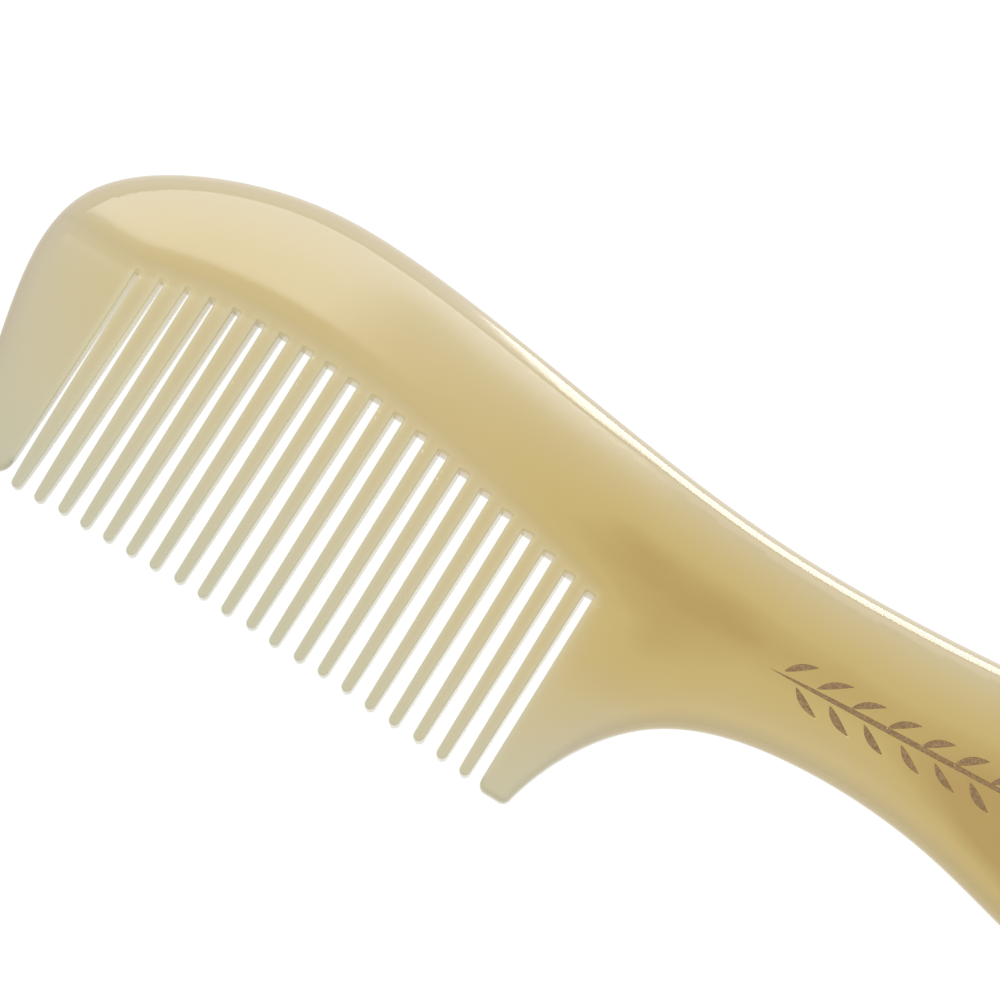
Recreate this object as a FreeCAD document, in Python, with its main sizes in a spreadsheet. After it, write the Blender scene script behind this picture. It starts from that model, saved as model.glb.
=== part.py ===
import FreeCAD, Part
import os

import Sketcher

# Handled horn comb, lying flat on its back face.
# X runs along the comb towards the end of the handle, the teeth point to -Y, and Z is the thickness.
# The origin is under the middle of the comb, on the surface that it lies on.
# The real comb is sawn and filed from one plate of horn.  Each named region of the plate is a solid
# of its own here, and neighbouring regions meet face to face with no overlap.

# Driving dimensions in millimetres, degrees and counts.
DIMENSIONS = {
    "plate_thickness": 6.0,
    "edge_round": 2.2,
    "front_tip_round": 2.4,
    "rear_tip_round": 1.2,
    # Teeth, numbered from the front end of the comb towards the handle.
    "tooth_count": 20,
    "fine_steps": 6,
    "fine_pitch": 3.5,
    "main_pitch": 3.71,
    "first_tooth_x": -77.7,
    "root_width_first": 2.75,
    "root_width_rest": 2.3,
    "shoulder_width_first": 1.95,
    "shoulder_width_rest": 1.65,
    "tip_width_first": 1.15,
    "tip_width_rest": 1.45,
    "shoulder_above_tip": 8.0,
    "tip_line_crown_y": -25.3,
    "tip_line_crown_x": -55.0,
    "tip_line_bend": 0.0009,
    "tooth_top_y": 12.0,
    "root_thickness": 4.6,
    "tip_thickness": 2.2,
    # The sawn field, between the two guards.
    "front_guard_inner_x": -79.65,
    "rear_guard_inner_x": -6.1,
    "field_bottom_y": -35.0,
    "notch_top_y": -15.0,
    # The thinner step above the tooth roots, cut into both faces.
    "step_depth": 0.75,
    "step_height": 1.7,
    # Where one region of the plate stops and the next one starts.
    "front_guard_top_y": 5.0,
    "rear_guard_top_y": -7.5,
    "rear_guard_outer_x": 24.0,
    "handle_start_x": 6.0,
    "region_reach": 100.0,
    # The leaf sprig engraved in the handle.
    "engraving_depth": 0.3,
    "sprig_start_x": 18.0,
    "sprig_start_y": 5.0,
    "sprig_slope": 2.5,
    "stem_length": 62.0,
    "stem_width": 0.7,
    "leaf_reach": 3.4,
    "leaf_rise": 2.8,
    "leaf_fullness": 0.17,
    "leaf_count": 12,
    "leaf_first_x": 1.5,
    "leaf_last_x": 56.5,
}

# Control points of the outer edge, a smooth cubic curve from the tip of the front guard, over the
# back of the head, around the end of the handle and through the finger crook to the rear guard.
OUTLINE = [
    (-85.0, -25.3), (-87.5, -19.4), (-92.1, -5.0), (-94.9, 15.1), (-70.7, 27.2),
    (-52.6, 28.1), (-30.4, 25.3), (-10.8, 22.2), (10.4, 19.8), (31.0, 20.3),
    (51.8, 22.1), (72.4, 25.5), (95.0, 18.5), (92.7, -10.0), (67.8, -10.5),
    (48.9, -4.0), (27.8, -2.6), (6.4, -7.1), (-0.6, -21.0), (-1.9, -27.6),
]

# Control points of the gently arched line on which the saw cuts end.
ROOT_ARCH = [(-79.65, 6.6), (-54.5, 13.4), (-30.5, 7.2), (-6.1, 1.05)]

CUBIC = 3
ORIGIN_POINT = (-1, 1)
START, END, CENTRE = 1, 2, 3


def fill_sheet(doc):
    """Make the sheet of driving dimensions and give every cell its alias."""
    sheet = doc.addObject("Spreadsheet::Sheet", "Dimensions")
    cells = dict(DIMENSIONS)
    for prefix, points in (("outline", OUTLINE), ("arch", ROOT_ARCH)):
        for number, (x, y) in enumerate(points, start=1):
            cells[f"{prefix}_x_{number:02d}"] = x
            cells[f"{prefix}_y_{number:02d}"] = y
    for row, (alias, value) in enumerate(cells.items(), start=1):
        sheet.set(f"A{row}", alias)
        sheet.set(f"B{row}", str(value))
        sheet.setAlias(f"B{row}", alias)
    doc.recompute()
    return sheet


def cell(alias):
    """Expression that reads one cell of the sheet."""
    return f"Dimensions.{alias}"


def value_of(doc, expression):
    """Number that an expression has now, used as the starting value of a constraint."""
    return float(doc.Dimensions.evalExpression(expression.replace("Dimensions.", "")))


def origin_plane(body, role):
    """One of the body's own origin planes."""
    return next(feature for feature in body.Origin.OriginFeatures if feature.Role == role)


def add_sketch(owner, name, plane=None):
    """Sketch in a body on one of its origin planes, or a free one on the XY plane."""
    if plane is None:
        return owner.addObject("Sketcher::SketchObject", name)
    sketch = owner.newObject("Sketcher::SketchObject", name)
    sketch.AttachmentSupport = [(origin_plane(owner, plane), "")]
    sketch.MapMode = "FlatFace"
    return sketch


def bind(sketch, kind, elements, expression):
    """Add one dimension to a sketch and bind its size to an expression."""
    start = value_of(sketch.Document, expression)
    index = sketch.addConstraint(Sketcher.Constraint(kind, *elements, start))
    sketch.setExpression(f"Constraints[{index}]", expression)


def bind_point(sketch, geometry, position, x, y):
    """Hold one point of a sketch at two expressions."""
    bind(sketch, "DistanceX", (*ORIGIN_POINT, geometry, position), x)
    bind(sketch, "DistanceY", (*ORIGIN_POINT, geometry, position), y)


def add_line(sketch, first, second):
    """Line between two (x, y) pairs of expressions, with both of its ends bound."""
    doc = sketch.Document
    ends = [FreeCAD.Vector(value_of(doc, x), value_of(doc, y), 0) for x, y in (first, second)]
    index = sketch.addGeometry(Part.LineSegment(*ends), False)
    bind_point(sketch, index, START, *first)
    bind_point(sketch, index, END, *second)
    return index


def add_polyline(sketch, points):
    """Bound lines through a list of (x, y) pairs of expressions."""
    for first, second in zip(points, points[1:]):
        add_line(sketch, first, second)


def add_spline(sketch, prefix, count, raise_by="0"):
    """Clamped cubic curve whose control points are cells of the sheet, raised by an expression."""
    doc = sketch.Document
    pairs = []
    for number in range(1, count + 1):
        x = cell(f"{prefix}_x_{number:02d}")
        y = f"{cell(f'{prefix}_y_{number:02d}')} + {raise_by}"
        pairs.append((x, y))
    poles = [FreeCAD.Vector(value_of(doc, x), value_of(doc, y), 0) for x, y in pairs]
    spans = count - CUBIC
    multiplicities = [CUBIC + 1] + [1] * (spans - 1) + [CUBIC + 1]
    knots = [step / spans for step in range(spans + 1)]
    curve = Part.BSplineCurve()
    curve.buildFromPolesMultsKnots(poles, multiplicities, knots, False, CUBIC, [1] * count)
    index = sketch.addGeometry(curve, False)
    sketch.exposeInternalGeometry(index)
    for offset, pair in enumerate(pairs, start=1):
        bind_point(sketch, index + offset, CENTRE, *pair)
    return pairs


def extrude(doc, name, sketch, length, start="0"):
    """Part extrusion of a sketch upwards, from a height to a height plus a length."""
    solid = doc.addObject("Part::Extrusion", name)
    solid.Base = sketch
    solid.DirMode = "Normal"
    solid.Solid = True
    solid.setExpression("LengthFwd", length)
    solid.setExpression("Placement.Base.z", start)
    return solid


def combine(doc, kind, name, base, tool):
    """Boolean of two solids: Part::Cut or Part::Common."""
    result = doc.addObject(kind, name)
    result.Base = base
    result.Tool = tool
    return result


def is_outer_rim(edge, thickness, notch_x):
    """Whether an edge runs around the outer rim of either face, not along the sawn notch."""
    heights = [vertex.Point.z for vertex in edge.Vertexes]
    level = max(heights) - min(heights) < 1e-6
    on_face = level and min(abs(heights[0]), abs(heights[0] - thickness)) < 1e-6
    middle = edge.valueAt((edge.FirstParameter + edge.LastParameter) / 2)
    at_top = abs(middle.y - DIMENSIONS["notch_top_y"]) < 1e-3
    in_notch = at_top or any(abs(middle.x - x) < 1e-3 for x in notch_x)
    return on_face and not in_notch


def is_tip_corner(edge, corners):
    """Whether an edge stands upright at one of the corners of a guard's tip."""
    upright = abs(edge.tangentAt(edge.FirstParameter).z) > 0.99
    place = edge.valueAt(edge.FirstParameter)
    return upright and any(abs(place.x - x) < 1e-3 and abs(place.y - y) < 1e-3 for x, y in corners)


def round_edges(body, name, base, chosen, radius):
    """Fillet in a body on the edges of its last feature that a test picks."""
    fillet = body.newObject("PartDesign::Fillet", name)
    numbered = enumerate(base.Shape.Edges, start=1)
    fillet.Base = (base, [f"Edge{number}" for number, edge in numbered if chosen(edge)])
    fillet.setExpression("Radius", radius)
    body.Document.recompute()
    return fillet


def make_blank(doc):
    """The sawn-out plate with its rounded rim, before the teeth are cut."""
    body = doc.addObject("PartDesign::Body", "blank")
    sketch = add_sketch(body, "outer_edge", "XY_Plane")
    pairs = add_spline(sketch, "outline", len(OUTLINE))
    front_tip, rear_tip = pairs[0], pairs[-1]
    front_x, rear_x = cell("front_guard_inner_x"), cell("rear_guard_inner_x")
    notch_y = cell("notch_top_y")
    inner = [front_tip, (front_x, front_tip[1]), (front_x, notch_y), (rear_x, notch_y)]
    add_polyline(sketch, inner + [(rear_x, rear_tip[1]), rear_tip])
    plate = body.newObject("PartDesign::Pad", "plate")
    plate.Profile = sketch
    plate.setExpression("Length", cell("plate_thickness"))
    doc.recompute()

    number = {alias: value_of(doc, alias) for alias in DIMENSIONS}
    notch_x = (number["front_guard_inner_x"], number["rear_guard_inner_x"])
    front_corners = [OUTLINE[0], (notch_x[0], OUTLINE[0][1])]
    rear_corners = [OUTLINE[-1], (notch_x[1], OUTLINE[-1][1])]
    front = round_edges(body, "front_tip", plate, lambda edge: is_tip_corner(edge, front_corners),
                        cell("front_tip_round"))
    rear = round_edges(body, "rear_tip", front, lambda edge: is_tip_corner(edge, rear_corners),
                       cell("rear_tip_round"))
    thickness = number["plate_thickness"]
    round_edges(body, "rim", rear, lambda edge: is_outer_rim(edge, thickness, notch_x), cell("edge_round"))
    return body


def make_field(doc):
    """The full-height prism that the saw works in, closed at the top by the root arch."""
    sketch = add_sketch(doc, "field_plan")
    pairs = add_spline(sketch, "arch", len(ROOT_ARCH))
    low = cell("field_bottom_y")
    add_polyline(sketch, [pairs[-1], (pairs[-1][0], low), (pairs[0][0], low), pairs[0]])
    return extrude(doc, "field", sketch, cell("plate_thickness"))


def make_step(doc):
    """The two shallow prisms that thin the plate around the tooth roots."""
    sketch = add_sketch(doc, "step_plan")
    pairs = add_spline(sketch, "arch", len(ROOT_ARCH), raise_by=cell("step_height"))
    low = cell("notch_top_y")
    add_polyline(sketch, [pairs[-1], (pairs[-1][0], low), (pairs[0][0], low), pairs[0]])
    lower = extrude(doc, "lower_step", sketch, cell("step_depth"))
    upper = extrude(doc, "upper_step", sketch, cell("step_depth"),
                    f"{cell('plate_thickness')} - {cell('step_depth')}")
    return [lower, upper]


def make_box(doc, name, low, high):
    """Box between two (x, y) corners given as expressions, through the whole plate."""
    box = doc.addObject("Part::Box", name)
    for axis, size, start, stop in (("x", "Length", low[0], high[0]), ("y", "Width", low[1], high[1])):
        box.setExpression(f"Placement.Base.{axis}", start)
        box.setExpression(size, f"({stop}) - ({start})")
    box.setExpression("Height", cell("plate_thickness"))
    return box


def make_wedge(doc):
    """The side profile of the teeth, thick at the roots and thin at the tips, across the field."""
    body = doc.addObject("PartDesign::Body", "tooth_side_profile")
    sketch = add_sketch(body, "side_profile", "YZ_Plane")
    middle = f"{cell('plate_thickness')} / 2"
    low, high = cell("tip_line_crown_y"), cell("tooth_top_y")
    below = cell("field_bottom_y")
    half_root, half_tip = f"{cell('root_thickness')} / 2", f"{cell('tip_thickness')} / 2"
    ring = [(below, f"{middle} - {half_tip}"), (low, f"{middle} - {half_tip}"),
            (high, f"{middle} - {half_root}"), (high, f"{middle} + {half_root}"),
            (low, f"{middle} + {half_tip}"), (below, f"{middle} + {half_tip}")]
    add_polyline(sketch, ring + ring[:1])
    pad = body.newObject("PartDesign::Pad", "across_the_field")
    pad.Profile = sketch
    pad.Reversed = True
    pad.setExpression("Length", f"-({cell('front_guard_inner_x')})")
    return body


def tooth_centre(index):
    """Expression for the middle of a tooth: the first few are sawn a little closer together."""
    fine = f"min({index}; {cell('fine_steps')})"
    rest = f"max({index} - {cell('fine_steps')}; 0)"
    return f"{cell('first_tooth_x')} + {cell('fine_pitch')} * {fine} + {cell('main_pitch')} * {rest}"


def blended(name, index):
    """Expression for a tooth width that runs from its first value to the rest's in the fine steps."""
    first, rest = cell(f"{name}_first"), cell(f"{name}_rest")
    return f"({first} + ({rest} - {first}) * min({index} / {cell('fine_steps')}; 1))"


def make_tooth_bar(doc, index):
    """One tooth in plan: two straight flanks that narrow to a shoulder, a finer end and a round tip."""
    body = doc.addObject("PartDesign::Body", f"tooth_bar_{index + 1:02d}")
    centre = tooth_centre(index)
    body.setExpression("Placement.Base.x", centre)
    from_crown = f"(({centre}) - ({cell('tip_line_crown_x')}))"
    tip_y = f"({cell('tip_line_crown_y')} - {cell('tip_line_bend')} * {from_crown}^2)"
    half_root, half_shoulder, half_tip = (f"{blended(name, index)} / 2"
                                          for name in ("root_width", "shoulder_width", "tip_width"))
    top_y, shoulder_y = cell("tooth_top_y"), f"{tip_y} + {cell('shoulder_above_tip')}"
    round_y = f"{tip_y} + {half_tip}"

    sketch = add_sketch(body, "plan", "XY_Plane")
    left = [(f"-({x})", y) for x, y in ((half_tip, round_y), (half_shoulder, shoulder_y), (half_root, top_y))]
    right = [(half_root, top_y), (half_shoulder, shoulder_y), (half_tip, round_y)]
    add_polyline(sketch, left + right)
    points = [left[0], ("0", tip_y), right[-1]]
    ends = [FreeCAD.Vector(value_of(doc, x), value_of(doc, y), 0) for x, y in points]
    tip = sketch.addGeometry(Part.Arc(*ends), False)
    bind_point(sketch, tip, START, *points[0])
    bind_point(sketch, tip, END, *points[2])
    bind(sketch, "DistanceY", (*ORIGIN_POINT, tip, CENTRE), round_y)
    pad = body.newObject("PartDesign::Pad", "full_thickness")
    pad.Profile = sketch
    pad.setExpression("Length", cell("plate_thickness"))
    return body


def add_leaf(sketch, start_x, side):
    """Lens-shaped leaf from the stem outwards, as two arcs; side is 1 above the stem, -1 below."""
    doc = sketch.Document
    base = (start_x, "0")
    tip = (f"{start_x} + {cell('leaf_reach')}", f"{side} * {cell('leaf_rise')}")
    foot, point = (FreeCAD.Vector(value_of(doc, x), value_of(doc, y), 0) for x, y in (base, tip))
    chord = point - foot
    across = FreeCAD.Vector(-chord.y, chord.x, 0)
    for bulge in (1, -1):
        middle = (foot + point) * 0.5 + across * (bulge * value_of(doc, cell("leaf_fullness")))
        arc = sketch.addGeometry(Part.Arc(foot, middle, point), False)
        starts_at_foot = (sketch.Geometry[arc].StartPoint - foot).Length < 1e-6
        at_foot, at_point = (START, END) if starts_at_foot else (END, START)
        bind_point(sketch, arc, at_foot, *base)
        bind_point(sketch, arc, at_point, *tip)
        sketch.addConstraint(Sketcher.Constraint("Radius", arc, sketch.Geometry[arc].Radius))


def make_sprig(doc):
    """The engraved sprig: a thin stem with pairs of leaves, as deep as the engraving."""
    body = doc.addObject("PartDesign::Body", "engraving")
    body.setExpression("Placement.Base.x", cell("sprig_start_x"))
    body.setExpression("Placement.Base.y", cell("sprig_start_y"))
    body.setExpression("Placement.Base.z", f"{cell('plate_thickness')} - {cell('engraving_depth')}")
    body.Placement.Rotation = FreeCAD.Rotation(FreeCAD.Vector(0, 0, 1), value_of(doc, "sprig_slope"))
    stem_sketch = add_sketch(body, "stem_plan", "XY_Plane")
    half = f"{cell('stem_width')} / 2"
    far = cell("stem_length")
    ring = [("0", f"-{half}"), (far, f"-{half}"), (far, half), ("0", half)]
    add_polyline(stem_sketch, ring + ring[:1])
    stem = body.newObject("PartDesign::Pad", "stem")
    stem.Profile = stem_sketch
    stem.setExpression("Length", cell("engraving_depth"))
    leaf_sketch = add_sketch(body, "leaf_plan", "XY_Plane")
    spacing = f"({cell('leaf_last_x')} - {cell('leaf_first_x')}) / ({cell('leaf_count')} - 1)"
    add_leaf(leaf_sketch, cell("leaf_first_x"), 1)
    add_leaf(leaf_sketch, f"{cell('leaf_first_x')} + {spacing} / 2", -1)
    leaf = body.newObject("PartDesign::Pad", "leaf_pair")
    leaf.Profile = leaf_sketch
    leaf.setExpression("Length", cell("engraving_depth"))
    doc.recompute()
    row = body.newObject("PartDesign::LinearPattern", "leaves")
    row.Originals = [leaf]
    row.Direction = (origin_plane(body, "X_Axis"), [""])
    row.setExpression("Length", f"{cell('leaf_last_x')} - {cell('leaf_first_x')}")
    row.setExpression("Occurrences", cell("leaf_count"))
    body.Tip = row
    return body


def make_plate_regions(doc, blank, field, steps, sprig):
    """Cut the blank and divide it into the back, the two guards and the handle."""
    carved = combine(doc, "Part::Cut", "carved_field", blank, field)
    for number, step in enumerate(steps, start=1):
        carved = combine(doc, "Part::Cut", f"carved_step_{number}", carved, step)
    far, near = cell("region_reach"), f"-{cell('region_reach')}"
    front_box = make_box(doc, "front_guard_region", (near, near),
                         (cell("front_guard_inner_x"), cell("front_guard_top_y")))
    rear_box = make_box(doc, "rear_guard_region", (cell("rear_guard_inner_x"), near),
                        (cell("rear_guard_outer_x"), cell("rear_guard_top_y")))
    handle_box = make_box(doc, "handle_region", (cell("handle_start_x"), near), (far, far))
    front_guard = combine(doc, "Part::Common", "front_guard", carved, front_box)
    rear_guard = combine(doc, "Part::Common", "rear_guard", carved, rear_box)
    above = combine(doc, "Part::Cut", "above_guards", carved, front_box)
    above = combine(doc, "Part::Cut", "between_guards", above, rear_box)
    spine = combine(doc, "Part::Cut", "spine", above, handle_box)
    handle_whole = combine(doc, "Part::Common", "handle_whole", above, handle_box)
    handle = combine(doc, "Part::Cut", "handle", handle_whole, sprig)
    return [spine, handle, front_guard, rear_guard]


def check(doc, nodes):
    """Stop if any object failed, or if a node's shape is missing, invalid or not one solid."""
    for item in doc.Objects:
        if {"Invalid", "Error"} & set(item.State):
            raise RuntimeError(f"{item.Label}: {item.State}")
    for node in nodes:
        shape = node.Shape
        if shape.isNull() or not shape.isValid() or len(shape.Solids) != 1:
            raise RuntimeError(f"{node.Label}: shape is not one valid solid")


def main():
    """Build the document, check it and write one STEP file for each node."""
    doc = FreeCAD.newDocument("comb")
    fill_sheet(doc)
    blank = make_blank(doc)
    field = make_field(doc)
    steps = make_step(doc)
    sprig = make_sprig(doc)
    nodes = make_plate_regions(doc, blank, field, steps, sprig)
    nodes.append(sprig)
    tooth_block = combine(doc, "Part::Common", "tooth_block", field, make_wedge(doc))
    for index in range(DIMENSIONS["tooth_count"]):
        bar = make_tooth_bar(doc, index)
        nodes.append(combine(doc, "Part::Common", f"tooth_{index + 1:02d}", bar, tooth_block))
    doc.recompute()
    check(doc, nodes)
    os.makedirs("parts", exist_ok=True)
    for node in nodes:
        node.Shape.exportStep(f"parts/{node.Label}.step")
        box = node.Shape.BoundBox
        print(f"{node.Label}: {node.Shape.Volume:.1f} mm3, x {box.XMin:.2f} to {box.XMax:.2f}, "
              f"y {box.YMin:.2f} to {box.YMax:.2f}, z {box.ZMin:.2f} to {box.ZMax:.2f}")


main()
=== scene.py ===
"""Looks of a handled horn comb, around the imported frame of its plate, guards and teeth."""
import logging
import math
import random
from dataclasses import dataclass, field
from enum import Enum
from typing import Sequence

import bpy
import numpy as np
from mathutils import Matrix, Vector
from mathutils.geometry import delaunay_2d_cdt
from mathutils.kdtree import KDTree


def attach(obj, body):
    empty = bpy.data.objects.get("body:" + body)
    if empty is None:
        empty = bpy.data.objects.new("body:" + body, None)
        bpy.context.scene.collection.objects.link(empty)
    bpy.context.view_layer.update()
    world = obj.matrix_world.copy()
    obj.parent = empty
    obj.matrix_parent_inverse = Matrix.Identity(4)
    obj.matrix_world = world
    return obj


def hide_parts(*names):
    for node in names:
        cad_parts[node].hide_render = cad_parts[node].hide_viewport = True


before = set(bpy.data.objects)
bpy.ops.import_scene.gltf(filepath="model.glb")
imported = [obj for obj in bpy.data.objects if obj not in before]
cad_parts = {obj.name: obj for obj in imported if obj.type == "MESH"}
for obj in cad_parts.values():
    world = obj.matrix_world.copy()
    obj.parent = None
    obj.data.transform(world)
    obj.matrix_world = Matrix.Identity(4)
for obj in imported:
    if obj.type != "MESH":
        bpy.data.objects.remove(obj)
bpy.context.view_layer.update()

MM = 0.001
HORN_IOR = 1.54
LOG = logging.getLogger("horn_comb")


class Slot(Enum):
    """Names of the record's material slots; the pieces here make their own finishes and don't use them."""

    BODY = "horn_body"
    ENGRAVED = "engraved_horn"


# ---------------------------------------------------------------------------------------- colours

def linear(hex_colour: str) -> tuple[float, float, float, float]:
    """Turn an sRGB hex colour into the linear colour that shaders use.

    Args:
        hex_colour: six hex digits, with or without a leading #.

    Returns:
        Linear red, green, blue and an alpha of 1.
    """
    digits = hex_colour.lstrip("#")
    channels = [int(digits[start:start + 2], 16) / 255 for start in (0, 2, 4)]
    red, green, blue = (c / 12.92 if c <= 0.04045 else ((c + 0.055) / 1.055) ** 2.4 for c in channels)
    return red, green, blue, 1.0


# ------------------------------------------------------------------------------------- plan curves

def smooth(value: np.ndarray | float, low: float, high: float) -> np.ndarray:
    """Smooth step from 0 at low to 1 at high.

    Args:
        value: numbers to map.
        low: where the step starts; it may be above high, for a falling step.
        high: where the step ends.

    Returns:
        The step's value at each number.
    """
    ratio = np.clip((np.asarray(value, float) - low) / (high - low), 0.0, 1.0)
    return ratio * ratio * (3.0 - 2.0 * ratio)


def clamped_cubic(poles: Sequence[tuple[float, float]], count: int) -> np.ndarray:
    """Points along a clamped uniform cubic B-spline.

    Args:
        poles: control points in millimetres.
        count: how many points to give.

    Returns:
        An array of count rows of x and y.
    """
    degree = 3
    spans = len(poles) - degree
    knots = np.concatenate([np.zeros(degree), np.linspace(0.0, 1.0, spans + 1), np.ones(degree)])
    at = np.linspace(0.0, 1.0, count)
    at[-1] = 1.0 - 1e-12
    basis = [((knots[i] <= at) & (at < knots[i + 1])).astype(float) for i in range(len(knots) - 1)]
    for order in range(1, degree + 1):
        raised = []
        for i in range(len(basis) - 1):
            left_gap, right_gap = knots[i + order] - knots[i], knots[i + order + 1] - knots[i + 1]
            left = (at - knots[i]) / left_gap * basis[i] if left_gap > 0 else 0.0
            right = (knots[i + order + 1] - at) / right_gap * basis[i + 1] if right_gap > 0 else 0.0
            raised.append(left + right)
        basis = raised
    return np.stack(basis, axis=1) @ np.asarray(poles, float)


def respace(points: np.ndarray, spacing: float) -> np.ndarray:
    """Space points evenly along a polyline, with both of its ends kept.

    Args:
        points: the polyline, as rows of x and y.
        spacing: about how far apart the new points are.

    Returns:
        Rows of x and y.
    """
    steps = np.hypot(*np.diff(points, axis=0).T)
    along = np.concatenate([[0.0], np.cumsum(steps)])
    wanted = np.linspace(0.0, along[-1], max(2, round(along[-1] / spacing) + 1))
    return np.stack([np.interp(wanted, along, points[:, axis]) for axis in (0, 1)], axis=1)


def corner_arc(before: np.ndarray, corner: np.ndarray, after: np.ndarray,
               radius: float, count: int) -> np.ndarray:
    """Round a corner between two straight runs.

    Args:
        before: a point on the run that comes in.
        corner: where the two runs would meet.
        after: a point on the run that goes out.
        radius: radius of the round.
        count: how many points to give.

    Returns:
        Points from the incoming tangent point to the outgoing one.
    """
    inward = (before - corner) / np.linalg.norm(before - corner)
    outward = (after - corner) / np.linalg.norm(after - corner)
    half = math.acos(float(np.clip(inward @ outward, -1, 1))) / 2
    middle = (inward + outward) / np.linalg.norm(inward + outward)
    centre = corner + middle * radius / math.sin(half)
    first = corner + inward * radius / math.tan(half) - centre
    last = corner + outward * radius / math.tan(half) - centre
    start = math.atan2(first[1], first[0])
    turn = (math.atan2(last[1], last[0]) - start + math.pi) % (2 * math.pi) - math.pi
    angles = start + turn * np.linspace(0, 1, count)
    return centre + radius * np.stack([np.cos(angles), np.sin(angles)], axis=1)


def nearest(points: np.ndarray, targets: np.ndarray) -> tuple[np.ndarray, np.ndarray]:
    """Find the nearest target to each point.

    Args:
        points: rows of x and y to start from.
        targets: rows of x and y to look among.

    Returns:
        The distance to the nearest target, and its index.
    """
    tree = KDTree(len(targets))
    for index, (x, y) in enumerate(targets.tolist()):
        tree.insert((x, y, 0.0), index)
    tree.balance()
    found = [tree.find((x, y, 0.0)) for x, y in points.tolist()]
    return np.array([hit[2] for hit in found]), np.array([hit[1] for hit in found])


# ---------------------------------------------------------------------------------- the comb's plan

@dataclass(frozen=True)
class Tooth:
    """One tooth in plan, pointing to -Y, in millimetres."""

    centre: float
    tip_y: float
    root_y: float
    root_half: float
    tip_half: float
    fullness: float
    tip_length: float = 1.15
    tip_points: int = 8

    def half_width(self, y: np.ndarray) -> np.ndarray:
        """Half of the tooth's width at each height.

        Fullness below 1 keeps the tooth broad until near the tip; tip_length is how long the round tip
        is, in half widths.

        Args:
            y: heights to look at.

        Returns:
            The half widths there.
        """
        above = np.clip((np.asarray(y, float) - self.tip_y) / (self.root_y - self.tip_y), 0.0, 1.0)
        flank = self.tip_half + (self.root_half - self.tip_half) * above ** self.fullness
        from_tip = np.clip((np.asarray(y, float) - self.tip_y) / (self.tip_length * self.tip_half), 0.0, 1.0)
        return flank * np.sqrt(1.0 - (1.0 - from_tip) ** 2)

    def flank(self, side: int, top_y: float, spacing: float) -> np.ndarray:
        """Points of one flank, from the top down to the tip.

        Args:
            side: 1 for the flank towards the handle, -1 for the other.
            top_y: height at which the flank starts.
            spacing: about how far apart the points are.

        Returns:
            Rows of x and y.
        """
        tip_turn = np.radians(np.linspace(0, 90, self.tip_points))
        tip_y = self.tip_y + self.tip_length * self.tip_half * (1 - np.sin(tip_turn))[::-1]
        shaft_y = np.linspace(top_y, tip_y.max(), max(2, round((top_y - tip_y.max()) / spacing)))
        y = np.concatenate([shaft_y[:-1], tip_y[::-1]])
        return np.stack([self.centre + side * self.half_width(y), y], axis=1)


@dataclass(frozen=True)
class Loop:
    """Closed edge of the plate in plan, with the rounding that each stretch of it has."""

    points: np.ndarray
    reach: np.ndarray
    drop: np.ndarray
    sweep: np.ndarray


@dataclass(frozen=True)
class Stroke:
    """One cut of the graver: a slender, slightly bent blade shape from a foot to a point."""

    foot: tuple[float, float]
    point: tuple[float, float]
    width: float
    bend: float
    widest: float
    spacing: float = 0.45
    end_trim: float = 2.5
    bluntness: float = 0.8
    least_half: float = 0.02

    def outline(self, inset: float) -> np.ndarray:
        """Closed outline of the stroke, anticlockwise.

        Args:
            inset: how far the outline is drawn in; its two ends are drawn in by end_trim times as much.

        Returns:
            Rows of x and y.
        """
        foot, point = np.array(self.foot), np.array(self.point)
        chord = point - foot
        length = float(np.hypot(*chord))
        across = np.array([-chord[1], chord[0]]) / length
        trim = self.end_trim * inset / length
        share = np.linspace(trim, 1 - trim, max(9, round(length / self.spacing)))[:, None]
        fall = self.bluntness * (1 - self.widest) / self.widest
        fullness = (share / self.widest) ** self.bluntness * ((1 - share) / (1 - self.widest)) ** fall
        half = np.maximum(0.5 * self.width * fullness - inset, self.least_half)
        spine = foot + share * chord + across * (4 * self.bend * share * (1 - share))
        return np.concatenate([spine - across * half, (spine + across * half)[::-1]])


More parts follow.
